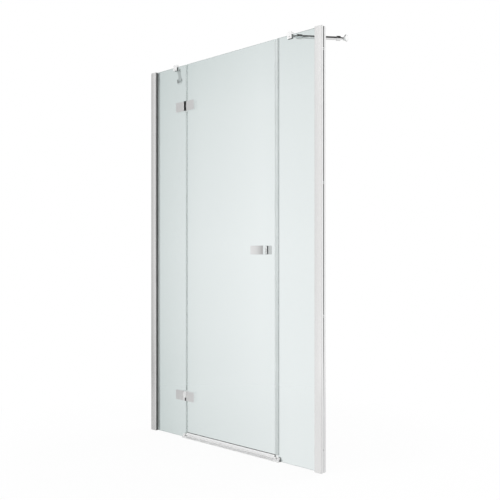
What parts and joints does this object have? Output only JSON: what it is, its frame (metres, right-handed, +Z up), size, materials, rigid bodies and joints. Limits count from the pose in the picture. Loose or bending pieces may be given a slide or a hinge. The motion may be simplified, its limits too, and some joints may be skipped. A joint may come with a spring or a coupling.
{
  "type": "shower door",
  "caption": "Alcove shower screen: hinged clear glass door between fixed glass panes, bright wall profiles, low threshold and stay arms back to the side walls.",
  "frame": {"origin": "middle of the span, on the shower tray, in the middle of the glass, under the threshold", "axes": "+X along the screen to the right wall as seen from the room, +Y into the shower, +Z up"},
  "size_m": [1.1, 0.24, 1.964],
  "materials": {
    "aluminium": "satin anodised",
    "bright_profile": "polished anodised",
    "threshold_aluminium": "polished anodised",
    "chrome": "mirror plated",
    "glass": "clear toughened, faint green",
    "glazing_rubber": "matt black",
    "clear_gasket": "soft, pale and translucent",
    "clear_seal": "soft translucent",
    "magnet": "matt pale grey",
    "white_plastic": "moulded, translucent white",
    "steel": "stainless"
  },
  "bodies": {
    "frame": {"left_wall_channel": "aluminium", "right_wall_channel": "aluminium", "left_glass_profile": "bright_profile", "right_glass_profile": "bright_profile", "left_glazing_gaskets": "glazing_rubber", "right_glazing_gaskets": "glazing_rubber", "left_top_cap": "white_plastic", "right_top_cap": "white_plastic", "profile_screws": "steel", "left_fixed_glass": "glass", "right_fixed_glass": "glass", "upper_hinge_frame_leaf": "chrome", "upper_hinge_frame_back_plate": "chrome", "lower_hinge_frame_leaf": "chrome", "lower_hinge_frame_back_plate": "chrome", "hinge_frame_gaskets": "clear_gasket", "hinge_pins": "steel", "hinge_frame_screws": "steel", "panel_magnetic_seal": "clear_seal", "panel_magnet_strip": "magnet", "threshold": "threshold_aluminium", "left_end_block": "white_plastic", "right_end_block": "white_plastic", "left_stay_clamp": "chrome", "right_stay_clamp": "chrome", "stay_clamp_liners": "glazing_rubber", "stay_clamp_screws": "steel", "stay_clamp_pins": "steel"},
    "door": {"door_glass": "glass", "upper_hinge_door_leaf": "chrome", "upper_hinge_door_back_plate": "chrome", "lower_hinge_door_leaf": "chrome", "lower_hinge_door_back_plate": "chrome", "hinge_door_gaskets": "clear_gasket", "hinge_bushes": "white_plastic", "hinge_door_screws": "steel", "hinge_side_seal": "clear_seal", "door_bottom_seal": "clear_seal", "door_magnetic_seal": "clear_seal", "door_magnet_strip": "magnet", "handle_outer_grip": "chrome", "handle_outer_base": "chrome", "handle_inner_grip": "chrome", "handle_inner_base": "chrome", "handle_inner_spacer": "glazing_rubber", "handle_gaskets": "clear_gasket", "handle_bolts": "steel"},
    "left_stay_arm": {"left_stay_glass_eye": "chrome", "left_stay_rod": "chrome", "left_stay_collars": "chrome", "left_stay_wall_eye": "chrome"},
    "left_stay_mount": {"left_stay_flange": "chrome", "left_stay_flange_pin": "steel"},
    "right_stay_arm": {"right_stay_glass_eye": "chrome", "right_stay_rod": "chrome", "right_stay_collars": "chrome", "right_stay_wall_eye": "chrome"},
    "right_stay_mount": {"right_stay_flange": "chrome", "right_stay_flange_pin": "steel"}
  },
  "joints": [
    {"name": "door_swing", "type": "hinge", "parent": "frame", "child": "door", "pos_m": [-0.293, -0.0095, 0.975], "axis": [0, 0, -1], "range_deg": [0, 90]},
    {"name": "left_stay_swing", "type": "hinge", "parent": "frame", "child": "left_stay_arm", "pos_m": [-0.372, 0.0185, 1.948], "axis": [0, 0, 1], "range_deg": [-30, 30]},
    {"name": "left_stay_swivel", "type": "hinge", "parent": "left_stay_arm", "child": "left_stay_mount", "pos_m": [-0.536, 0.197, 1.948], "axis": [0, 0, 1], "range_deg": [-30, 30]},
    {"name": "right_stay_swing", "type": "hinge", "parent": "frame", "child": "right_stay_arm", "pos_m": [0.372, 0.0185, 1.948], "axis": [0, 0, 1], "range_deg": [-30, 30]},
    {"name": "right_stay_swivel", "type": "hinge", "parent": "right_stay_arm", "child": "right_stay_mount", "pos_m": [0.536, 0.197, 1.948], "axis": [0, 0, 1], "range_deg": [-30, 30]}
  ]
}
